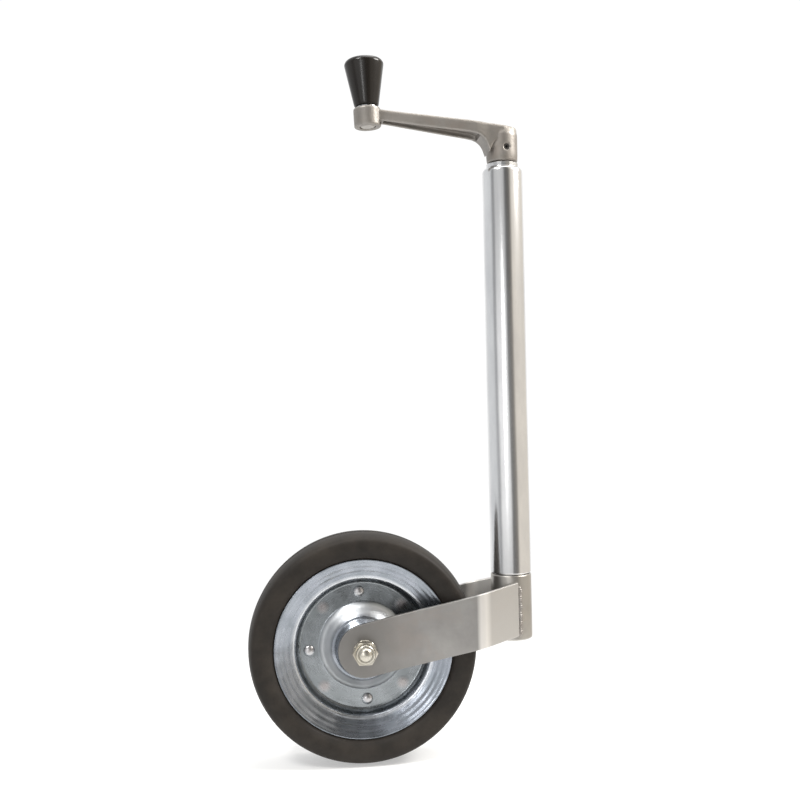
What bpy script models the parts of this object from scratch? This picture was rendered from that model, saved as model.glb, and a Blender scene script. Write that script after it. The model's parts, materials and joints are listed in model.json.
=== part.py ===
# Trailer jack wheel: clamp-on outer tube, screw-driven inner tube, castering fork and solid-tyred wheel.
# Lengths are millimetres until a mesh is made. Heights h are above the ground the wheel stands on.
# The row's origin is on the tube's axis at the middle of the clamp's grip, CLAMP_H above the ground.
import math

import bmesh
import bpy
from mathutils import Matrix, Vector

CLAMP_H = 400.0
TRAIL = 134.0          # tube axis to wheel axis
WHEEL_R = 100.0
WHEEL_W = 48.0
AXLE_H = WHEEL_R

TUBE_R, TUBE_WALL = 18.0, 2.0
TUBE_BOTTOM, TUBE_TOP = 158.8, 519.2
INNER_R, INNER_WALL = 15.5, 2.0
INNER_TOP = 482.0
COLLAR_BOTTOM, COLLAR_TOP = 101.0, 158.2

SCREW_R = 8.0
STROKE = 144.0         # 36 turns of a 4 mm thread

LEG_T = 4.0
LEG_HALF = 22.9
LEG_SLOPE = math.radians(12.3)
LEG_IN_AXLE, LEG_IN_BEND, LEG_IN_END = 20.8, 27.8, 18.35
BEND_X, LEG_END_X = -31.5, 1.5

THROW = 120.5          # tube axis to knob
KNOB_TILT = math.radians(2.5)
KNOB_FOOT = 573.0
HUB_R, HUB_BOTTOM, HUB_TOP = 14.0, 524.4, 554.2
PIN_H, PIN_TURN = 536.3, math.radians(7.0)

RIVET_PCD_R, RIVET_TURN = 47.3, math.radians(-3.4)

SEG = 36

bpy.ops.object.select_all(action="SELECT")
for _ob in list(bpy.data.objects):
    bpy.data.objects.remove(_ob, do_unlink=True)


def material(name, rgb, metallic, rough):
    m = bpy.data.materials.new(name)
    m.use_nodes = True
    b = m.node_tree.nodes["Principled BSDF"]
    b.inputs["Base Color"].default_value = (*rgb, 1.0)
    b.inputs["Metallic"].default_value = metallic
    b.inputs["Roughness"].default_value = rough
    m.diffuse_color = (*rgb, 1.0)
    return m


ZINC = material("zinc_bright", (0.72, 0.73, 0.74), 1.0, 0.25)
RIM = material("zinc_rim", (0.62, 0.66, 0.70), 1.0, 0.28)
STEEL = material("zinc_dull", (0.46, 0.44, 0.42), 1.0, 0.45)
YELLOW = material("fastener_zinc", (0.62, 0.58, 0.48), 1.0, 0.35)
RUBBER = material("tyre_rubber", (0.035, 0.031, 0.028), 0.0, 0.7)
PLASTIC = material("knob_plastic", (0.03, 0.027, 0.025), 0.0, 0.3)
NYLON = material("bush_nylon", (0.75, 0.73, 0.66), 0.0, 0.5)


def up(h):
    """Height above the ground to the row's Z, in millimetres."""
    return h - CLAMP_H


AT_TUBE = Matrix.Identity(4)
AT_AXLE = Matrix.Translation((-TRAIL, 0, up(AXLE_H))) @ Matrix.Rotation(-math.pi / 2, 4, "X")
AT_KNOB = Matrix.Translation((-THROW, 0, up(KNOB_FOOT))) @ Matrix.Rotation(-KNOB_TILT, 4, "Y")


def metres(frame):
    m = frame.copy()
    m.translation = m.translation * 0.001
    return m


def solid(name, verts, faces, mat, frame=AT_TUBE, sharp=32):
    """One closed body, faces turned outward, smooth but for edges sharper than the given angle."""
    bm = bmesh.new()
    made = [bm.verts.new(Vector(v) * 0.001) for v in verts]
    for f in faces:
        bm.faces.new([made[i] for i in f])
    bmesh.ops.recalc_face_normals(bm, faces=bm.faces)
    for f in bm.faces:
        f.smooth = True
    for e in bm.edges:
        e.smooth = e.calc_face_angle(0.0) < math.radians(sharp)
    me = bpy.data.meshes.new(name)
    bm.to_mesh(me)
    bm.free()
    me.materials.append(mat)
    ob = bpy.data.objects.new(name, me)
    bpy.context.scene.collection.objects.link(ob)
    ob.matrix_world = metres(frame)
    return ob


def hexagon(across_flats):
    """A ring's radius by angle, for a hexagon that keeps its corners on the lathe's vertices."""
    def radius(a):
        d = (math.degrees(a) + 30.0) % 60.0 - 30.0
        return across_flats / 2 / math.cos(math.radians(30.0 - abs(d)))
    return radius


def lathe(name, profile, mat, frame=AT_TUBE, segs=SEG, sharp=32, turn=0.0):
    """Turns (radius, height) points about the frame's Z. A profile that begins on the axis also ends on it."""
    verts, rings = [], []
    for r, z in profile:
        if r == 0:
            rings.append([len(verts)])
            verts.append((0, 0, z))
            continue
        rings.append(list(range(len(verts), len(verts) + segs)))
        for k in range(segs):
            a = 2 * math.pi * k / segs
            rr = r(a) if callable(r) else r
            verts.append((rr * math.cos(a + turn), rr * math.sin(a + turn), z))
    pairs = list(zip(rings, rings[1:]))
    if len(rings[0]) > 1:
        pairs.append((rings[-1], rings[0]))
    faces = []
    for a, b in pairs:
        for k in range(segs):
            j = (k + 1) % segs
            if len(a) == 1:
                faces.append((a[0], b[k], b[j]))
            elif len(b) == 1:
                faces.append((a[k], a[j], b[0]))
            else:
                faces.append((a[k], a[j], b[j], b[k]))
    return solid(name, verts, faces, mat, frame, sharp)


def cutter(ob):
    ob.hide_render = True
    ob.display_type = "WIRE"
    return ob


def boolean(ob, other, operation):
    cutter(other)
    m = ob.modifiers.new(operation.lower(), "BOOLEAN")
    m.operation = operation
    m.solver = "EXACT"
    m.object = other


def ring(name, r0, r1, z0, z1, mat, frame=AT_TUBE, segs=24, edge=0.3):
    """A washer or a tube with lightly broken outer edges."""
    return lathe(name, [(r0, z0), (r1 - edge, z0), (r1, z0 + edge), (r1, z1 - edge), (r1 - edge, z1), (r0, z1)],
                 mat, frame, segs)


# ---- outer tube and its screw ----
ri = TUBE_R - TUBE_WALL
zt = up(TUBE_TOP)
lathe("outer_tube", [
    (TUBE_R, up(TUBE_BOTTOM)), (TUBE_R, zt - 4.2), (TUBE_R - 0.6, zt - 2.1), (TUBE_R - 2.1, zt - 0.6),
    (TUBE_R - 4.2, zt), (9.6, zt), (9.6, zt - 2.3), (TUBE_R - 5.2, zt - 2.3), (ri, zt - 5.2),
    (ri, up(TUBE_BOTTOM))], ZINC)
lathe("bearing_seat", [(8.6, zt - 7.0), (15.3, zt - 7.0), (15.3, zt - 5.2), (12.6, zt - 2.7), (8.6, zt - 2.7)],
      STEEL, segs=24)
ring("thrust_washer_steel", 8.6, 14.6, zt - 9.6, zt - 7.3, STEEL)
ring("thrust_washer_nylon", 8.6, 14.4, zt - 12.0, zt - 9.9, NYLON)

collar_z = zt - 12.3
screw_end = up(INNER_TOP - 20.0 - STROKE - 14.0)
spindle = lathe("spindle", [
    (0, screw_end), (4.5, screw_end), (5.0, screw_end + 0.5), (5.0, screw_end + 12.6), (SCREW_R - 0.8, screw_end + 12.6),
    (SCREW_R, screw_end + 13.4), (SCREW_R, collar_z - 4.0), (13.2, collar_z - 4.0), (13.6, collar_z - 3.6),
    (13.6, collar_z), (SCREW_R, collar_z), (SCREW_R, up(544.5)), (SCREW_R - 0.8, up(545.3)), (0, up(545.3))],
    STEEL, segs=24)
AT_PIN = (Matrix.Translation((0, 0, up(PIN_H))) @ Matrix.Rotation(PIN_TURN, 4, "Z")
          @ Matrix.Rotation(math.pi / 2, 4, "X"))
boolean(spindle, lathe("spindle_pin_hole", [(0, -30), (2.7, -30), (2.7, 30), (0, 30)], STEEL, AT_PIN, 16),
        "DIFFERENCE")
ring("spindle_stop", 5.3, 12.6, screw_end + 1.0, screw_end + 12.0, STEEL)
lathe("spindle_nut", [
    (SCREW_R + 0.3, up(INNER_TOP) - 20.0), (12.4, up(INNER_TOP) - 20.0), (13.2, up(INNER_TOP) - 19.2),
    (13.2, up(INNER_TOP) + 0.3), (15.0, up(INNER_TOP) + 0.3), (15.0, up(INNER_TOP) + 4.0),
    (SCREW_R + 0.3, up(INNER_TOP) + 4.0)], YELLOW, segs=24)

# ---- inner tube, collar and fork ----
ring("inner_tube", INNER_R - INNER_WALL, INNER_R, up(COLLAR_BOTTOM) + 1.0, up(INNER_TOP), ZINC, segs=SEG)
ring("lower_collar", INNER_R + 0.3, TUBE_R, up(COLLAR_BOTTOM), up(COLLAR_TOP), ZINC, segs=SEG, edge=0.4)


def inner_face(x):
    """Distance of a leg's inner face from the wheel's plane, eased at its bends."""
    xs = [-200.0, -110.0, -104.0, BEND_X - 3.5, BEND_X, BEND_X + 3.5, LEG_END_X]
    run = (LEG_IN_BEND - LEG_IN_AXLE) / (BEND_X + 107.0)
    fall = (LEG_IN_BEND - LEG_IN_END) / (LEG_END_X - BEND_X)
    ys = [LEG_IN_AXLE, LEG_IN_AXLE, LEG_IN_AXLE + 3.0 * run, LEG_IN_BEND - 3.5 * run, LEG_IN_BEND - 0.6,
          LEG_IN_BEND - 3.5 * fall, LEG_IN_END]
    for (x0, y0), (x1, y1) in zip(zip(xs, ys), list(zip(xs, ys))[1:]):
        if x <= x1:
            return y0 + (y1 - y0) * (x - x0) / (x1 - x0), (y1 - y0) / (x1 - x0)
    return ys[-1], -fall


def leg(name, side):
    """A flat bar with a round, drilled end, splayed past the tyre and bent in to meet the collar."""
    r, hole = LEG_HALF, 6.3
    ends = [(r * math.cos(a), r * math.sin(a)) for a in (math.pi / 2 + math.pi * k / 16 for k in range(17))]
    ends += [(r * j / 4, -r) for j in range(1, 5)] + [(r, -r + r * j / 4) for j in range(1, 9)]
    ends += [(r * (1 - j / 4), r) for j in range(1, 4)]
    flat = [(hole * s / math.hypot(s, t), hole * t / math.hypot(s, t)) for s, t in ends] + ends
    n = len(ends)
    quads = [(k, (k + 1) % n, n + (k + 1) % n, n + k) for k in range(n)]
    column = [n + 20 + j for j in range(9)]
    c, s_ = math.cos(LEG_SLOPE), math.sin(LEG_SLOPE)
    for x in (-104.0, -68.0, BEND_X - 3.5, BEND_X, BEND_X + 3.5, -14.0, LEG_END_X):
        along = (x + TRAIL) / c
        fresh = list(range(len(flat), len(flat) + 9))
        flat += [(along + (-r + r * j / 4) * s_ / c, -r + r * j / 4) for j in range(9)]
        quads += [(column[j], column[j + 1], fresh[j + 1], fresh[j]) for j in range(8)]
        column = fresh
    uses = {}
    for q in quads:
        for a, b in zip(q, q[1:] + q[:1]):
            uses.setdefault((min(a, b), max(a, b)), []).append((a, b))
    verts = []
    for outer in (0, 1):
        for s, t in flat:
            x = -TRAIL + s * c - t * s_
            y, slope = inner_face(x)
            y += outer * LEG_T * math.hypot(1.0, slope)
            verts.append((x, side * y, up(AXLE_H) + s * s_ + t * c))
    m = len(flat)
    faces = list(quads) + [tuple(m + i for i in reversed(q)) for q in quads]
    faces += [(e[0][0], e[0][1], m + e[0][1], m + e[0][0]) for e in uses.values() if len(e) == 1]
    return solid(name, verts, faces, STEEL, sharp=25)


leg("fork_leg_near", -1)
leg("fork_leg_far", 1)

# ---- axle and wheel; the frame's Z runs along the axle, away from the nut ----
hx = hexagon(19.0)
lathe("axle_bolt", [
    (0, 34.9), (8.9, 34.9), (hx, 34.0), (hx, 27.3), (6.0, 27.3), (6.0, -39.0), (5.2, -39.8), (0, -39.8)],
    YELLOW, AT_AXLE, 24)
lathe("axle_nut", [
    (6.2, -27.4), (9.0, -27.4), (hx, -28.0), (hx, -34.2), (8.6, -34.8), (8.3, -37.0), (7.4, -37.8), (6.2, -37.8)],
    YELLOW, AT_AXLE, 24)
ring("axle_washer_near", 6.3, 10.2, -27.1, -25.1, YELLOW, AT_AXLE)
ring("axle_washer_far", 6.3, 10.2, 25.1, 27.0, YELLOW, AT_AXLE)
ring("axle_sleeve", 6.3, 8.5, -20.5, 20.5, STEEL, AT_AXLE, edge=0.2)
ring("hub_tube", 12.3, 15.2, -18.2, 18.2, ZINC, AT_AXLE, segs=24)
for word, w in (("near", -1), ("far", 1)):
    lathe("hub_bush_" + word, [(8.65, 2.0 * w), (12.0, 2.0 * w), (12.0, 18.5 * w), (14.6, 18.5 * w),
                               (15.0, 18.9 * w), (15.0, 20.2 * w), (8.65, 20.2 * w)], NYLON, AT_AXLE, 24)

DISC_OUT = [(15.5, 18.0), (18.0, 17.7), (21.5, 16.0), (34.4, 4.3), (39.0, 1.75), (55.2, 1.75),
            (57.6, 3.6), (58.9, 9.2), (60.6, 11.0), (63.6, 11.7), (76.2, 17.5), (77.4, 17.7)]
DISC_IN = [(77.8, 16.7), (76.9, 16.1), (64.2, 10.2), (61.4, 9.6), (60.2, 8.4), (58.8, 2.6), (55.8, 0.2),
           (38.6, 0.2), (33.4, 2.9), (20.6, 14.6), (15.5, 15.0)]
holes = []
for k in range(4):
    a = RIVET_TURN + k * math.pi / 2
    spot = AT_AXLE @ Matrix.Translation((RIVET_PCD_R * math.cos(a), RIVET_PCD_R * math.sin(a), 0))
    lathe("rim_rivet_%d" % (k + 1), [
        (0, -4.6), (2.6, -4.2), (4.4, -3.1), (5.0, -2.1), (3.0, -2.1), (3.0, 2.1), (5.0, 2.1), (4.4, 3.1),
        (2.6, 4.2), (0, 4.6)], YELLOW, spot, 12, sharp=40)
    holes.append(cutter(lathe("rivet_hole_%d" % (k + 1), [(0, -3), (3.25, -3), (3.25, 3), (0, 3)],
                              STEEL, spot, 12)))
for word, w in (("near", -1), ("far", 1)):
    disc = lathe("rim_disc_" + word, [(r, w * z) for r, z in DISC_OUT + DISC_IN], RIM, AT_AXLE, 40, sharp=60)
    for hole in holes:
        boolean(disc, hole, "DIFFERENCE")

half = [(61.3, 8.2), (64.2, 9.7), (76.4, 15.5), (78.2, 16.3), (79.4, 19.0), (84.0, 22.6), (90.5, WHEEL_W / 2),
        (95.4, 22.4), (98.4, 17.6), (WHEEL_R, 5.0)]
lathe("tyre", [(r, z) for r, z in half] + [(r, -z) for r, z in reversed(half)], RUBBER, AT_AXLE, 48, sharp=60)

# ---- crank ----
TOP = lambda u: 557.9 + 0.132 * (u - 13.0)
STATIONS = [(-12.4, 6.4, 547.0), (-8.0, 10.6, 545.0), (0.0, 12.6, 545.0), (9.0, 12.8, 541.0), (13.2, 12.6, 532.4),
            (14.4, 12.7, 536.2), (15.6, 12.8, 539.6), (17.8, 13.1, 543.3), (20.8, 13.5, 546.2), (24.6, 13.9, 548.2),
            (31.0, 13.6, 549.4),
            (60.0, 11.0, 553.4), (90.0, 8.4, 557.7), (106.0, 7.2, 560.1), (THROW - 2, 7.2, 561.0)]
CHANNEL_DEPTH = 4.6
BOSS_R, BOSS_BOTTOM, HEAD_SEAT = 12.0, -17.6, -14.8


def bar(name, rows, rnd):
    """A loft along -X of sections with rounded upper corners: (distance, half width, bottom, top)."""
    verts, faces = [], []
    for u, w, zb, ztop in rows:
        for v, z in ((w, zb + 0.6), (w, ztop - rnd), (w - rnd * 0.3, ztop - rnd * 0.3), (w - rnd, ztop),
                     (rnd - w, ztop), (rnd * 0.3 - w, ztop - rnd * 0.3), (-w, ztop - rnd), (-w, zb + 0.6),
                     (0.6 - w, zb), (w - 0.6, zb)):
            verts.append((-u, v, up(z)))
    for i in range(len(rows) - 1):
        for j in range(10):
            k = (j + 1) % 10
            faces.append((10 * i + j, 10 * i + k, 10 * i + 10 + k, 10 * i + 10 + j))
    faces.append(tuple(range(9, -1, -1)))
    faces.append(tuple(range(10 * len(rows) - 10, 10 * len(rows))))
    return solid(name, verts, faces, STEEL, sharp=40)


crank = bar("crank_arm", [(u, w, zb, TOP(u)) for u, w, zb in STATIONS], 2.4)
boolean(crank, lathe("crank_hub", [
    (0, up(HUB_BOTTOM)), (HUB_R - 0.9, up(HUB_BOTTOM)), (HUB_R - 0.3, up(HUB_BOTTOM) + 0.8), (HUB_R, up(529.5)),
    (HUB_R, up(HUB_TOP) - 5.5), (HUB_R - 1.2, up(HUB_TOP) - 2.6), (HUB_R - 3.6, up(HUB_TOP) - 0.8),
    (HUB_R - 6.5, up(HUB_TOP)), (0, up(HUB_TOP))], STEEL, segs=32), "UNION")
boolean(crank, lathe("crank_boss", [
    (0, BOSS_BOTTOM), (BOSS_R - 0.8, BOSS_BOTTOM), (BOSS_R, BOSS_BOTTOM + 0.8), (BOSS_R, -1.4), (BOSS_R - 0.8, -0.6),
    (0, -0.6)], STEEL, AT_KNOB, 28), "UNION")
boolean(crank, bar("crank_channel", [(u, w - 2.7, zb - 12.0, zb + CHANNEL_DEPTH) for u, w, zb in [
    (21.0, 13.3, 546.2), (24.6, 13.9, 548.2), (31.0, 13.6, 549.4), (60.0, 11.0, 553.4), (90.0, 8.4, 557.7),
    (106.0, 7.2, 560.1)]], 1.2), "DIFFERENCE")
boolean(crank, lathe("crank_bore", [(0, up(515)), (8.3, up(515)), (8.3, up(546)), (0, up(546))], STEEL, segs=24),
        "DIFFERENCE")
boolean(crank, lathe("crank_pin_hole", [(0, -40), (2.75, -40), (2.75, 40), (0, 40)], STEEL, AT_PIN, 16),
        "DIFFERENCE")
boolean(crank, lathe("crank_knob_hole", [
    (0, -40), (7.2, -40), (7.2, HEAD_SEAT), (4.3, HEAD_SEAT), (4.3, 10), (0, 10)], STEEL, AT_KNOB, 20), "DIFFERENCE")
ring("crank_pin", 1.3, 2.45, -13.0, 13.0, STEEL, AT_PIN, 16)
ring("crank_washer", 8.5, 14.2, zt + 0.4, zt + 4.2, ZINC, edge=0.4)

# ---- knob ----
lathe("knob_grip", [
    (0, 43.3), (9.2, 43.2), (13.2, 42.6), (16.0, 41.4), (17.2, 39.8), (17.5, 38.0), (17.2, 36.0), (10.8, 1.6),
    (9.9, 0.9), (4.6, 0.9), (4.6, 34.0), (0, 34.0)], PLASTIC, AT_KNOB, 28)
lathe("knob_pin", [
    (0, BOSS_BOTTOM + 0.2), (5.6, BOSS_BOTTOM + 0.5), (6.8, BOSS_BOTTOM + 1.4), (6.8, HEAD_SEAT - 0.3),
    (4.0, HEAD_SEAT - 0.3), (4.0, 32.0), (3.2, 33.0), (0, 33.0)], STEEL, AT_KNOB, 20)
ring("knob_washer", 4.4, 9.2, -0.3, 0.6, ZINC, AT_KNOB, edge=0.2)
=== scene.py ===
# Trailer jack wheel: looks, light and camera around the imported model.
# Metres, +Z up. The origin is on the tube's axis, 0.4 above the ground, and the wheel trails towards -X.
# Profiles are in millimetres: the tube's and the collar's heights count from the ground, the wheel's and
# the bolt's from the wheel's middle plane, and the knob's from its seat on the crank.
import json
import math

import bmesh
import bpy
from mathutils import Matrix, Vector

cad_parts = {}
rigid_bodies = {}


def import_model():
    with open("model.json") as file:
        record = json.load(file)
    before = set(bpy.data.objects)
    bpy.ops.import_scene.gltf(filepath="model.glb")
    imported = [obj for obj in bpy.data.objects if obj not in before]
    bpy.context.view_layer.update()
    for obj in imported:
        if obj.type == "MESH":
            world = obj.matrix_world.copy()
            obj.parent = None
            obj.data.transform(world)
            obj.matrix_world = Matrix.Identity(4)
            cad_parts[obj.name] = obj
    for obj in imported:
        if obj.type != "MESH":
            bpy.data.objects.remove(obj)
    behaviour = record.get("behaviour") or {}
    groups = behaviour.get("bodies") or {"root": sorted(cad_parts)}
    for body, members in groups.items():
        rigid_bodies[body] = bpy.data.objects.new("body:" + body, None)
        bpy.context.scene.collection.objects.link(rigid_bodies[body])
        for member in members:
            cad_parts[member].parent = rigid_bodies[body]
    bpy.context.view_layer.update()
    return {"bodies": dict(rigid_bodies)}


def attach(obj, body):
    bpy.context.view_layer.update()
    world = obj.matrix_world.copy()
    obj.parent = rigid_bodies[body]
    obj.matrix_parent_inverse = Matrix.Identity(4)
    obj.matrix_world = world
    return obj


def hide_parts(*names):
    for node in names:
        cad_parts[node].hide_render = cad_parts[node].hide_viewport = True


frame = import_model()
NODES = {o.name: o for o in bpy.context.scene.objects if o.type == "MESH"}

MM = 0.001
GROUND = -0.4
WHEEL_R = 0.1
TRAIL = 0.134
RIVET_CIRCLE = 0.0473
SPOT_WELD = 0.0345  # the four spot welds lie at plus and minus this in the disc's x and y
KNOB_SEAT = (-0.1205, 0, 0.173)
KNOB_TILT = math.radians(2.5)
TUBE_R, TUBE_BORE_R, TUBE_FOOT, TUBE_TOP = 18.0, 16.0, 158.8, 519.2  # in millimetres, as the profiles
COLLAR_BORE_R, COLLAR_FOOT, COLLAR_TOP = 15.8, 101.0, 158.2
HEX_ACROSS = 19.0
WHEEL_CENTRE = Vector((-TRAIL, 0, GROUND + WHEEL_R))

AXLE = Matrix.Translation(WHEEL_CENTRE) @ Matrix.Rotation(-math.pi / 2, 4, "X")
KNOB = Matrix.Translation(KNOB_SEAT) @ Matrix.Rotation(-KNOB_TILT, 4, "Y")
TUBE = Matrix.Translation((0, 0, GROUND))


def put(ob):
    bpy.context.scene.collection.objects.link(ob)
    return ob


# ---------------------------------------------------------------- materials
class Tree:
    """A short way to write shader nodes: a socket given for an input is linked, anything else is set."""

    def __init__(self, tree):
        self.tree = tree

    def add(self, kind, values=(), **props):
        node = self.tree.nodes.new("ShaderNode" + kind)
        for key, v in props.items():
            setattr(node, key, v)
        for key, v in dict(values).items():
            if hasattr(v, "links"):
                self.tree.links.new(v, node.inputs[key])
            else:
                node.inputs[key].default_value = v
        return node

    def ramp(self, fac, stops):
        """A colour ramp: each stop is (position, grey) or (position, colour)."""
        node = self.add("ValToRGB", {"Fac": fac})
        elements = node.color_ramp.elements
        while len(elements) < len(stops):
            elements.new(0.5)
        for el, (position, c) in zip(elements, stops):
            el.position = position
            el.color = (*c, 1) if hasattr(c, "__len__") else (c, c, c, 1)
        return node.outputs[0]

    def math(self, op, a, b=0.0, c=0.0):
        return self.add("Math", {0: a, 1: b, 2: c}, operation=op).outputs[0]

    def hypot(self, a, b):
        squares = self.math("ADD", self.math("MULTIPLY", a, a), self.math("MULTIPLY", b, b))
        return self.math("SQRT", squares)

    def remap(self, value, low, high, to_low=0.0, to_high=1.0):
        return self.add("MapRange", {0: value, 1: low, 2: high, 3: to_low, 4: to_high}).outputs[0]

    def mix(self, fac, a, b, blend="MIX"):
        values = {0: fac}
        for key, v in ((6, a), (7, b)):
            values[key] = v if hasattr(v, "links") else (*v, 1)
        return self.add("Mix", values, data_type="RGBA", blend_type=blend).outputs[2]


class Material(Tree):
    """A Principled material under construction."""

    def __init__(self, name):
        self.mat = bpy.data.materials.new(name)
        self.mat.use_nodes = True
        super().__init__(self.mat.node_tree)
        self.bsdf = self.tree.nodes["Principled BSDF"]

    def link(self, out, name):
        self.tree.links.new(out, self.bsdf.inputs[name])

    def set(self, name, value):
        self.bsdf.inputs[name].default_value = value

    def where(self):
        return self.add("TexCoord").outputs["Object"]

    def place(self, scale=(1, 1, 1)):
        return self.add("Mapping", {"Vector": self.where(), "Scale": scale}).outputs[0]

    def noise(self, at, scale, detail=3.0, rough=0.55, distortion=0.0):
        return self.add("TexNoise", {"Vector": at, "Scale": scale, "Detail": detail, "Roughness": rough,
                                     "Distortion": distortion}).outputs["Fac"]

    def tint(self, col, mask, amount, colour):
        """Colours col where the mask is white, by the amount."""
        return self.mix(self.math("MULTIPLY", mask, amount), col, colour)

    def bump(self, *layers):
        """Each layer is (height, strength, distance)."""
        last = None
        for height, strength, distance in layers:
            node = self.add("Bump", {"Height": height, "Strength": strength, "Distance": distance})
            if last:
                self.tree.links.new(last, node.inputs["Normal"])
            last = node.outputs[0]
        self.link(last, "Normal")


def zinc(name, tint, shade, rough, wave=0.15, grain=0.1, warm=None, metal=1.0, wear_and_hollow_shade=None):
    """Zinc plate: two close tints in soft clouds, roughness that wanders, slow waves and a fine grain.

    warm adds blotches of that colour; a wear colour rubs the outer edges to it as wear and paints shade into
    the hollows.
    """
    m = Material(name)
    at = m.place()
    cloud = m.noise(at, 45.0, 4.0)
    fine = m.noise(at, 420.0, 3.0)
    col = m.mix(m.ramp(cloud, [(0.3, 0.0), (0.7, 1.0)]), tint, shade)
    if warm:
        blotch = m.noise(m.place(), 28.0, 5.0, 0.65, 0.4)
        col = m.mix(m.ramp(blotch, [(0.5, 0.0), (0.68, 0.6)]), col, warm)
    if wear_and_hollow_shade:
        convex = m.add("NewGeometry").outputs["Pointiness"]
        outer = m.ramp(convex, [(0.505, 0.0), (0.56, 0.75)])
        rub = m.math("MULTIPLY", outer, m.ramp(cloud, [(0.25, 0.3), (0.6, 1.0)]))
        # painted shade: the hollows, found by pointiness, are darkened towards a near-black brown
        hollow_shade = m.ramp(convex, [(0.44, 0.5), (0.49, 0.0)])
        col = m.mix(hollow_shade, m.mix(rub, col, wear_and_hollow_shade), (0.07, 0.062, 0.055))
    m.link(col, "Base Color")
    m.link(m.math("MULTIPLY_ADD", cloud, -0.12, metal), "Metallic")
    clouded = m.math("MULTIPLY_ADD", cloud, rough * 0.5, rough * 0.75)
    m.link(m.math("MULTIPLY_ADD", fine, 0.08, m.math("SUBTRACT", clouded, 0.04)), "Roughness")
    m.bump((m.noise(m.place(), 22.0, 2.0), wave, 0.002), (fine, grain, 0.0002))
    return m


def zinc_tube(name):
    """Drawn tube: faint lines along its length over a nearly mirror-bright plate, dulled in clouds."""
    m = Material(name)
    lines = m.noise(m.place((1, 1, 0.02)), 900.0, 3.0)
    cloud = m.noise(m.place((1, 1, 0.35)), 40.0, 5.0, 0.6)
    dulled = m.ramp(cloud, [(0.35, 0.0), (0.7, 1.0)])
    m.link(m.mix(dulled, (0.80, 0.80, 0.80), (0.68, 0.68, 0.69)), "Base Color")
    m.set("Metallic", 1.0)
    m.link(m.math("MULTIPLY_ADD", cloud, 0.12, m.math("MULTIPLY_ADD", lines, 0.10, 0.10)), "Roughness")
    m.bump((m.noise(m.place((1, 1, 0.3)), 26.0, 2.0), 0.10, 0.002), (lines, 0.05, 0.0002))
    return m


def zinc_rim(name):
    """Pressed disc: bluish plate with forming rings, painted shade in the recess, painted highlight rings on
    the lip and round the cone's foot, and four weld marks.
    """
    m = Material(name)
    xyz = m.add("SeparateXYZ", {0: m.where()})
    x, y = xyz.outputs[0], xyz.outputs[1]
    rad = m.hypot(x, y)
    turn = m.math("ARCTAN2", y, x)
    rad_in_10cm = m.math("MULTIPLY", rad, 10.0)

    def zone(*stops):
        """A ramp over the radius: each stop is (millimetres, grey)."""
        return m.ramp(rad_in_10cm, [(r / 100.0, v) for r, v in stops])

    def ringed(drag, *noise):
        """Noise that changes with the radius and only slowly round the disc."""
        at = m.add("CombineXYZ", {0: rad, 1: m.math("MULTIPLY", turn, drag)}).outputs[0]
        return m.noise(at, *noise)

    def off_weld(c):
        return m.math("ABSOLUTE", m.math("SUBTRACT", m.math("ABSOLUTE", c), SPOT_WELD))

    lines = ringed(0.006, 900.0, 3.0)
    swirl = ringed(0.02, 150.0, 4.0, 0.6)
    slow = m.noise(m.place(), 24.0, 2.0)
    cloud = m.noise(m.place(), 60.0, 4.0)
    # by radius: painted shade over the flat recess, a painted highlight ring on the lip (edge) and one round
    # the cone's foot (foot)
    recess_shade = zone((30, 0.0), (40, 1.0), (56, 1.0), (60, 0.0))
    edge = zone((59.5, 0.0), (61, 1.0), (63.5, 0.0))
    foot = zone((27, 0.0), (30, 1.0), (35.5, 1.0), (38.5, 0.0))
    flange = zone((60, 0.0), (64, 1.0), (74, 1.0), (77, 0.0))
    rings = m.math("MULTIPLY", flange, m.math("SINE", m.math("MULTIPLY", rad, 1500.0)))
    # heat marks: full within 2 mm of a weld, gone at 6 mm
    heat = m.ramp(m.math("MULTIPLY", m.hypot(off_weld(x), off_weld(y)), 120.0), [(0.25, 1.0), (0.75, 0.0)])

    col = m.mix(m.ramp(cloud, [(0.3, 0.0), (0.7, 1.0)]), (0.35, 0.373, 0.418), (0.248, 0.27, 0.306))
    col = m.mix(m.ramp(swirl, [(0.42, 0.0), (0.62, 0.55)]), col, (0.24, 0.265, 0.29))
    # painted shade in the recess, then painted highlights on the lip and the cone's foot
    col = m.tint(col, recess_shade, 0.55, (0.23, 0.245, 0.24))
    col = m.tint(col, edge, 0.6, (0.85, 0.87, 0.90))
    col = m.tint(col, foot, 0.7, (0.86, 0.88, 0.90))
    col = m.tint(col, heat, 0.4, (0.42, 0.35, 0.335))
    m.link(col, "Base Color")
    m.set("Metallic", 1.0)
    rough = m.math("MULTIPLY_ADD", cloud, 0.14, m.math("MULTIPLY_ADD", lines, 0.18, 0.12))
    m.link(m.math("MULTIPLY_ADD", foot, 0.16, rough), "Roughness")
    m.bump((slow, 0.6, 0.003), (swirl, 0.3, 0.0006), (rings, 0.16, 0.0004), (lines, 0.16, 0.0003),
           (heat, 0.5, 0.0004))
    return m


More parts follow.
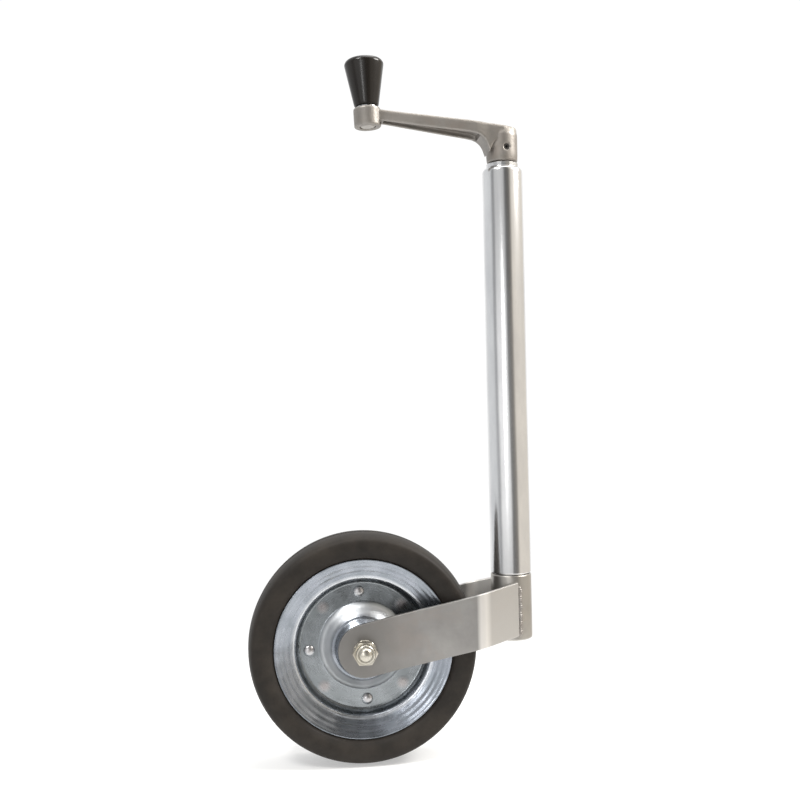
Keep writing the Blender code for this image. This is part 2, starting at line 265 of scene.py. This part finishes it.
def zinc_leg(name):
    """Dull zinc bar with painted light: a painted highlight on the bend, painted light on the flat beyond it
    and painted shade towards the axle.
    """
    m = zinc(name, (0.33, 0.32, 0.308), (0.25, 0.242, 0.234), 0.42, 0.25, 0.25, warm=(0.31, 0.275, 0.25),
             metal=0.75)
    dull = m.bsdf.inputs["Base Color"].links[0].from_socket
    x = m.add("SeparateXYZ", {0: m.where()}).outputs[0]
    near_tube = m.remap(x, -0.06, 0.0)
    # painted light: painted shade towards the axle, painted light on the flat beyond the bend (flat) and a
    # painted highlight on the bend
    toward_axle_shade = m.remap(x, -0.15, -0.07)
    flat = m.ramp(near_tube, [(0.38, 0.0), (0.50, 1.0)])
    bend_highlight = m.ramp(near_tube, [(0.38, 0.0), (0.44, 1.0), (0.52, 1.0), (0.60, 0.0)])
    col = m.mix(m.ramp(toward_axle_shade, [(0.2, 0.8), (0.9, 0.0)]), dull, (0.185, 0.178, 0.17))
    col = m.tint(col, flat, 0.65, (0.60, 0.58, 0.55))
    m.link(m.tint(col, bend_highlight, 0.75, (0.84, 0.81, 0.77)), "Base Color")
    return m


def rubber(name):
    """Solid rubber: brown-black, dusty in patches, with a fine mould texture."""
    m = Material(name)
    dust = m.noise(m.place(), 38.0, 6.0, 0.65)
    speck = m.noise(m.place(), 900.0, 2.0)
    dusty = m.ramp(dust, [(0.38, 0.0), (0.75, 1.0)])
    m.link(m.mix(dusty, (0.015, 0.0122, 0.0100), (0.034, 0.028, 0.0225)), "Base Color")
    m.link(m.math("MULTIPLY_ADD", dust, 0.2, 0.5), "Roughness")
    m.set("Specular IOR Level", 0.25)
    m.bump((dust, 0.12, 0.001), (speck, 0.22, 0.0002))
    return m


def plastic(name):
    """Moulded black plastic: fairly glossy, with a faint unevenness that softens its highlights."""
    m = Material(name)
    cloud = m.noise(m.place(), 60.0, 4.0)
    speck = m.noise(m.place(), 1300.0, 2.0)
    m.link(m.mix(cloud, (0.008, 0.0064, 0.0052), (0.016, 0.013, 0.0106)), "Base Color")
    m.link(m.math("MULTIPLY_ADD", cloud, 0.12, 0.16), "Roughness")
    m.set("Specular IOR Level", 0.36)
    m.bump((m.noise(m.place(), 34.0, 2.0), 0.12, 0.001), (speck, 0.05, 0.0001))
    return m


def nylon(name):
    """Natural nylon for the bushes and the thrust washer."""
    m = Material(name)
    cloud = m.noise(m.place(), 90.0, 3.0)
    m.link(m.mix(cloud, (0.72, 0.70, 0.62), (0.80, 0.78, 0.72)), "Base Color")
    m.set("Roughness", 0.45)
    m.set("Subsurface Weight", 0.1)
    m.bump((cloud, 0.05, 0.0003))
    return m


M_TUBE = zinc_tube("zinc_tube").mat
M_RIM = zinc_rim("zinc_rim_disc").mat
M_LEG = zinc_leg("zinc_bar").mat
M_COLLAR = zinc("zinc_collar", (0.46, 0.44, 0.41), (0.37, 0.355, 0.33), 0.34, 0.15, 0.2,
                warm=(0.42, 0.38, 0.33)).mat
M_PIN = zinc("pin_dark", (0.12, 0.115, 0.11), (0.08, 0.077, 0.073), 0.45, 0.1, 0.3).mat
# the cast crank's outer edges are rubbed lighter as wear, and its hollows get painted shade
M_CAST = zinc("zinc_cast", (0.31, 0.287, 0.262), (0.205, 0.19, 0.172), 0.46, 0.4, 0.7,
              warm=(0.25, 0.212, 0.182), metal=0.72, wear_and_hollow_shade=(0.58, 0.55, 0.51)).mat
M_STEEL = zinc("zinc_plain", (0.62, 0.60, 0.58), (0.52, 0.50, 0.48), 0.32, 0.1, 0.2).mat
M_FAST = zinc("zinc_fastener", (0.60, 0.57, 0.50), (0.48, 0.455, 0.40), 0.28, 0.1, 0.15,
              warm=(0.50, 0.45, 0.35)).mat
M_RIVET = zinc("zinc_rivet", (0.62, 0.64, 0.66), (0.46, 0.48, 0.50), 0.30, 0.1, 0.2,
               warm=(0.46, 0.38, 0.36)).mat
M_WELD = zinc("zinc_weld", (0.38, 0.36, 0.34), (0.24, 0.228, 0.215), 0.50, 0.2, 0.4,
              warm=(0.24, 0.20, 0.17)).mat
M_RUBBER = rubber("solid_rubber").mat
M_KNOB = plastic("knob_black").mat
M_NYLON = nylon("bush_natural").mat

# the inner and small pieces keep their CAD shape and only take a material
for names, mat in (
    ("bearing_seat thrust_washer_steel spindle spindle_stop axle_sleeve", M_STEEL),
    ("crank_pin", M_PIN),
    ("knob_pin", M_CAST),
    ("spindle_nut axle_washer_near axle_washer_far", M_FAST),
    ("inner_tube hub_tube crank_washer knob_washer", M_TUBE),
    ("hub_bush_near hub_bush_far thrust_washer_nylon", M_NYLON),
):
    for name in names.split():
        NODES[name].data.materials.clear()
        NODES[name].data.materials.append(mat)


# ---------------------------------------------------------------- shapes
def piece(name, bm, mat, body, node=None, at=None, sharp=30):
    """Makes an object of bm that rides on a body and stands for a CAD node."""
    bmesh.ops.recalc_face_normals(bm, faces=bm.faces)
    me = bpy.data.meshes.new(name)
    bm.to_mesh(me)
    bm.free()
    me.shade_smooth()
    me.set_sharp_from_angle(angle=math.radians(sharp))
    me.materials.append(mat)
    ob = put(bpy.data.objects.new(name, me))
    if at is not None:
        ob.matrix_world = at
    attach(ob, body)
    if node:
        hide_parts(node)
    return ob


def softened(name, node, mat, body):
    """A copy of a CAD node's mesh that modifiers may then work on."""
    src = NODES[node]
    ob = put(bpy.data.objects.new(name, src.data.copy()))
    ob.matrix_world = src.matrix_world
    ob.data.materials.clear()
    ob.data.materials.append(mat)
    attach(ob, body)
    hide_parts(node)
    return ob


def skin(bm, rings, loop=False):
    """Faces from ring to ring. A ring of one vertex is a point on the axis."""
    for a, b in zip(rings, rings[1:] + rings[:1] if loop else rings[1:]):
        n = max(len(a), len(b))
        for k in range(n):
            j = (k + 1) % n
            if len(a) == 1:
                bm.faces.new((a[0], b[k], b[j]))
            elif len(b) == 1:
                bm.faces.new((a[k], a[j], b[0]))
            else:
                bm.faces.new((a[k], a[j], b[j], b[k]))


def eased(points, closed):
    """Rounds a profile's corners: each point is (radius, height) or (radius, height, rounding)."""
    steps = 5
    out, n = [], len(points)
    for i, p in enumerate(points):
        ease = p[2] if len(p) > 2 else 0.0
        here = Vector(p[:2])
        if not ease or (not closed and i in (0, n - 1)):
            out.append(tuple(here))
            continue
        back, ahead = Vector(points[i - 1][:2]) - here, Vector(points[(i + 1) % n][:2]) - here
        p0 = here + back.normalized() * min(ease, back.length * 0.48)
        p2 = here + ahead.normalized() * min(ease, ahead.length * 0.48)
        for k in range(steps + 1):
            t = k / steps
            out.append(tuple(p0 * (1 - t) ** 2 + here * (2 * t * (1 - t)) + p2 * t * t))
    return out


def flipped(points, sign=-1):
    """A profile with its heights times the sign."""
    return [(p[0], sign * p[1], *p[2:]) for p in points]


def turned(profile, segs=128):
    """A body of revolution about Z, in millimetres. A profile that begins on the axis also ends on it."""
    closed = profile[0][0] > 0
    bm = bmesh.new()
    rings = []
    for r, z in eased(profile, closed):
        angles = [2 * math.pi * k / segs for k in range(segs)] if r > 1e-9 else [0.0]
        rings.append([bm.verts.new((r * MM * math.cos(a), r * MM * math.sin(a), z * MM)) for a in angles])
    skin(bm, rings, closed)
    return bm


def hexed(across, chamfers, low, high, bore=0.0, segs=96):
    """A hexagon from low to high, in millimetres. chamfers says whether the low and the high end have one."""
    angles = [2 * math.pi * k / segs for k in range(segs)]
    flat = across / 2
    chamfer_r = flat * 0.985
    slope = 0.62

    def hex_r(a):
        from_corner = abs((math.degrees(a) + 30.0) % 60.0 - 30.0)
        return flat / math.cos(math.radians(30.0 - from_corner))

    def end(z, inward, chamfered):
        """The rows of (radius, height) at one end, from the outside in."""
        if not chamfered:
            return [[(hex_r(a), z) for a in angles]]
        side = [(hex_r(a), z + inward * slope * max(0.0, hex_r(a) - chamfer_r)) for a in angles]
        return [side, [(chamfer_r, z)] * segs]

    rows = end(low, 1, chamfers[0])[::-1] + end(high, -1, chamfers[1])
    if bore:
        rows = [[(bore, low)] * segs] + rows + [[(bore, high)] * segs]
    bm = bmesh.new()
    rings = [[bm.verts.new((r * MM * math.cos(a), r * MM * math.sin(a), z * MM))
              for a, (r, z) in zip(angles, row)] for row in rows]
    skin(bm, rings, loop=bool(bore))
    if not bore:
        bm.faces.new(rings[0])
        bm.faces.new(rings[-1])
    return bm


def weld(name, side):
    """The bead that holds a leg to the collar: a lumpy fillet with its ripples, in millimetres."""
    foot, length, steps, around = 105.5, 44.0, 120, 14
    angles = [2 * math.pi * k / around for k in range(around)]
    bm = bmesh.new()
    rings = []
    for i in range(steps + 1):
        taper = min(1.0, i / 5.0, (steps - i) / 5.0) ** 0.5
        size = (1.9 + 0.22 * math.sin(i * 1.15) + 0.18 * math.sin(i * 0.31 + side)) * taper + 0.02
        x, y, z = 3.0 + 0.2 * math.sin(i * 0.2), TUBE_R + 0.9, foot + length * i / steps
        rings.append([bm.verts.new(((x + size * 1.25 * math.cos(a)) * MM,
                                    side * (y + size * math.sin(a)) * MM, z * MM + GROUND)) for a in angles])
    skin(bm, rings)
    bm.faces.new(rings[0])
    bm.faces.new(rings[-1])
    piece(name, bm, M_WELD, "fork", sharp=60)


# outer tube with its rolled-in top edge, and the collar at the foot of the inner tube
LIP = TUBE_TOP - 2.3  # the rolled edge's underside
piece("tube_outer", turned([
    (TUBE_BORE_R, TUBE_FOOT), (TUBE_R - 0.8, TUBE_FOOT, 0.4), (TUBE_R, TUBE_FOOT + 0.8, 0.6),
    (TUBE_R, TUBE_TOP, 4.6), (9.6, TUBE_TOP, 0.5), (9.6, LIP), (13.2, LIP, 1.0),
    (TUBE_BORE_R, LIP - 2.7, 1.0)], 160), M_TUBE, "housing", "outer_tube", TUBE)
piece("collar", turned([
    (COLLAR_BORE_R, COLLAR_FOOT), (TUBE_R - 0.6, COLLAR_FOOT, 0.5), (TUBE_R, COLLAR_FOOT + 0.8, 0.6),
    (TUBE_R, COLLAR_TOP - 0.8, 0.6), (TUBE_R - 0.8, COLLAR_TOP, 0.5), (COLLAR_BORE_R, COLLAR_TOP)], 160),
    M_COLLAR, "fork", "lower_collar", TUBE)

# tyre with a mould line round its middle
half = [(61.3, 8.2), (64.2, 9.7), (76.4, 15.5), (78.2, 16.5), (79.2, 19.4, 1.5), (84.5, 22.9, 5.0),
        (91.0, 24.0, 4.0), (96.6, 22.6, 6.0), (99.0, 14.0, 6.0), (99.75, 6.0, 4.0)]
mould_line = [(99.75, 0.5), (100.0, 0.25), (100.0, -0.25), (99.75, -0.5)]
piece("tyre_solid", turned(half + mould_line + flipped(half[::-1]), 192), M_RUBBER, "wheel", "tyre", AXLE,
      sharp=60)

# rim discs: the outer face from the hub out to the rolled edge, then the inner face back
disc = [(15.5, 18.0), (18.0, 17.8, 1.0), (21.8, 16.0, 1.6), (25.4, 12.3, 0.8), (27.6, 11.3, 0.9),
        (34.4, 4.5, 2.0), (37.4, 2.6, 0.8), (38.8, 1.75, 0.8), (55.4, 1.75, 1.3), (57.8, 4.4, 1.5),
        (58.8, 9.4, 1.4), (60.6, 11.0, 1.2), (63.4, 11.5, 2.0), (75.6, 17.3, 1.6), (77.2, 17.75, 0.5),
        (77.8, 17.2, 0.4), (77.6, 16.6), (76.6, 16.0), (64.2, 10.1), (61.4, 9.5), (60.2, 8.2), (58.9, 2.6),
        (55.8, 0.2), (38.6, 0.2), (33.4, 2.9), (20.6, 14.6), (15.5, 15.2)]
for word, sign in (("near", -1), ("far", 1)):
    piece("disc_" + word, turned(flipped(disc, sign), 192), M_RIM, "wheel", "rim_disc_" + word, AXLE,
          sharp=40)

# rivets through both discs, each with a head on either side
rivet_top = [(3.0, 2.1), (5.0, 2.1, 0.3), (4.4, 3.2, 1.2), (2.4, 4.3, 1.2), (0, 4.6)]
for k in range(4):
    a = math.radians(-3.4) + k * math.pi / 2
    at = AXLE @ Matrix.Translation((RIVET_CIRCLE * math.cos(a), RIVET_CIRCLE * math.sin(a), 0))
    piece("rivet_%d" % (k + 1), turned(flipped(rivet_top[::-1]) + rivet_top, 40), M_RIVET, "wheel",
          "rim_rivet_%d" % (k + 1), at, sharp=50)

# axle bolt: its head on the far side, its thread's end past the nut on the near side
thread = [(5.45 + 0.55 * (i % 2), -26.5 - 0.875 * i) for i in range(14)]
shank = [(0, 27.2), (6.0, 27.2), (6.0, -26.0)] + thread + [(5.0, -39.2), (4.4, -39.8), (0, -39.8)]
piece("bolt_head", hexed(HEX_ACROSS, (False, True), 27.3, 34.9), M_FAST, "fork", "axle_bolt", AXLE, sharp=20)
piece("bolt_shank", turned(shank, 48), M_FAST, "fork", None, AXLE, sharp=60)
piece("nut_hex", hexed(HEX_ACROSS, (True, True), -34.2, -27.4, 6.2), M_FAST, "fork", "axle_nut", AXLE,
      sharp=20)
piece("nut_collar", turned([
    (6.2, -34.0), (8.7, -34.0), (8.6, -36.6, 0.8), (7.6, -37.8, 0.8), (6.2, -37.8)], 64),
    M_FAST, "fork", None, AXLE)

# fork legs: the CAD solids with softened edges
for word in ("near", "far"):
    leg = softened("leg_" + word, "fork_leg_" + word, M_LEG, "fork")
    bm = bmesh.new()
    bm.from_mesh(leg.data)
    bmesh.ops.remove_doubles(bm, verts=bm.verts, dist=1e-6)
    bmesh.ops.dissolve_limit(bm, angle_limit=math.radians(0.05), verts=bm.verts, edges=bm.edges)
    bm.to_mesh(leg.data)
    bm.free()
    leg.data.shade_smooth()
    bevel = leg.modifiers.new("edges", "BEVEL")
    bevel.width, bevel.segments = 0.0007, 3
    bevel.limit_method, bevel.angle_limit = "ANGLE", math.radians(50)
    flats = leg.modifiers.new("flats", "WEIGHTED_NORMAL")
    flats.keep_sharp, flats.weight = True, 100

weld("weld_near", -1)
weld("weld_far", 1)

# crank: the CAD solid with the soft corners of a casting
crank = softened("crank_casting", "crank_arm", M_CAST, "screw")
remesh = crank.modifiers.new("remesh", "REMESH")
remesh.mode, remesh.voxel_size, remesh.use_smooth_shade = "VOXEL", 0.0006, True
smooth = crank.modifiers.new("smooth", "SMOOTH")
smooth.factor, smooth.iterations = 0.5, 14

# knob: a flared grip with a blind bore for its pin
piece("knob", turned([
    (0, 42.8), (9.6, 42.7, 2.5), (15.4, 41.5, 2.5), (17.5, 38.4, 2.2), (17.2, 36.2, 2.0), (10.9, 1.8, 0.8),
    (9.9, 0.9, 0.5), (4.6, 0.9), (4.6, 34.0), (0, 34.0)], 96), M_KNOB, "knob", "knob_grip", KNOB, sharp=45)

# ---------------------------------------------------------------- camera
YAW = math.radians(6.0)
ROLL = math.radians(1.24)
DISTANCE = 0.85
AIM_RIGHT, AIM_UP = 0.03736, 0.2146  # of the wheel's centre
Z = Vector((0, 0, 1))
look = Vector((math.sin(YAW), math.cos(YAW), 0))
level = Vector((math.cos(YAW), -math.sin(YAW), 0))
aim = WHEEL_CENTRE + level * AIM_RIGHT + Z * AIM_UP
right = level * math.cos(ROLL) - Z * math.sin(ROLL)
up = Z * math.cos(ROLL) + level * math.sin(ROLL)
cam = put(bpy.data.objects.new("camera", bpy.data.cameras.new("camera")))
cam.matrix_world = Matrix((right, up, -look)).transposed().to_4x4()
cam.location = aim - look * DISTANCE
cam.data.lens, cam.data.sensor_width = 43.41, 36.0
cam.data.clip_start, cam.data.clip_end = 0.01, 50.0
bpy.context.scene.camera = cam

# ---------------------------------------------------------------- floor
# a pale round that fades into the backdrop
bm = bmesh.new()
bmesh.ops.create_circle(bm, cap_ends=True, segments=96, radius=0.7)
me = bpy.data.meshes.new("floor")
bm.to_mesh(me)
bm.free()
floor = put(bpy.data.objects.new("floor", me))
floor.location = (-0.08, 0, GROUND - 0.0002)
pale = Material("floor_pale")
pale.set("Base Color", (0.6, 0.6, 0.595, 1))
pale.set("Roughness", 0.9)
pale.set("Specular IOR Level", 0.1)
pale.set("Emission Color", (1, 1, 1, 1))
pale.set("Emission Strength", 0.42)
xyz = pale.add("SeparateXYZ", {0: pale.where()})
pale.link(pale.ramp(pale.hypot(xyz.outputs[0], xyz.outputs[1]), [(0.22, 1.0), (0.50, 0.0)]), "Alpha")
me.materials.append(pale.mat)
# the ground stays under the wheel as the leg runs out, which lifts the trailer and the tube with it
bpy.context.view_layer.update()
at_rest = floor.matrix_world.copy()
floor.parent = frame["bodies"]["screw_nut"]
floor.matrix_world = at_rest

# ---------------------------------------------------------------- room
# a ramp runs round it, from the camera's side (0) past -X (0.25), behind the object (0.5) and +X (0.75)
WHITE, COOL, WARM = (1.0, 1.0, 1.0), (0.97, 0.985, 1.0), (1.0, 0.93, 0.83)
world = bpy.data.worlds.new("studio")
bpy.context.scene.world = world
world.use_nodes = True
sky = Tree(world.node_tree)
xyz = sky.add("SeparateXYZ", {0: sky.add("TexCoord").outputs["Generated"]})
turn = sky.remap(sky.math("ARCTAN2", xyz.outputs[0], xyz.outputs[1]), -math.pi, math.pi)
# below the horizon the room leans round a little
lean = sky.remap(xyz.outputs[2], 0.0, -0.1, 0.0, 0.02)
turn = sky.math("FRACT", sky.math("ADD", turn, lean))
room = sky.ramp(turn, [(at, [v * c for c in tint]) for at, v, tint in (
    (0.0, 0.22, WHITE), (0.006, 0.28, WHITE), (0.022, 1.08, WHITE), (0.170, 1.12, WHITE), (0.184, 0.46, COOL),
    (0.222, 0.50, COOL), (0.240, 0.80, COOL), (0.40, 0.84, COOL), (0.43, 1.04, WHITE), (0.63, 1.04, WHITE),
    (0.66, 0.84, WARM), (0.905, 0.86, WARM), (0.928, 0.26, WARM), (1.0, 0.20, WHITE))])
# the window on the camera's side ends a little above and below the object
height = sky.remap(xyz.outputs[2], -0.5, 0.5)
window = sky.ramp(height, [(0.0, 1.0), (0.12, 0.95), (0.19, 0.38), (0.25, 0.38), (0.32, 1.0), (0.60, 1.0),
                           (0.70, 0.55), (1.0, 0.5)])
side = sky.ramp(turn, [(0.0, 1.0), (0.20, 1.0), (0.23, 0.0), (0.90, 0.0), (0.93, 1.0)])
lit = sky.mix(1.0, room, sky.mix(side, WHITE, window), blend="MULTIPLY")
# the backdrop is plain white from every side; the room shows only in reflections and as light
seen = sky.add("LightPath").outputs["Is Camera Ray"]
background = world.node_tree.nodes["Background"]
world.node_tree.links.new(sky.mix(seen, lit, (1.03, 1.03, 1.03)), background.inputs["Color"])
background.inputs["Strength"].default_value = 1.0


# ---------------------------------------------------------------- lights
def area(name, where, aim_at, size, power, tint=WHITE, size_y=None):
    light = bpy.data.lights.new(name, "AREA")
    light.energy, light.size, light.color = power, size, tint
    if size_y:
        light.shape, light.size_y = "RECTANGLE", size_y
    ob = put(bpy.data.objects.new(name, light))
    ob.location = where
    ob.rotation_mode = "QUATERNION"
    ob.rotation_quaternion = (Vector(aim_at) - Vector(where)).to_track_quat("-Z", "Y")


area("key", (-0.95, -0.9, 1.5), (-0.05, 0, -0.1), 0.5, 22.0, (1.0, 0.99, 0.97))
area("side", (1.2, -0.3, 0.9), (0, 0, -0.2), 0.6, 32.0, (1.0, 0.985, 0.96))
area("strip", (-0.85, -1.9, 0.02), (-0.05, 0, -0.05), 0.22, 3.6, size_y=0.7)
area("top", (0.1, 0.1, 1.3), (0, 0, -0.2), 0.9, 8.0)

bpy.context.scene.view_settings.view_transform = "Standard"
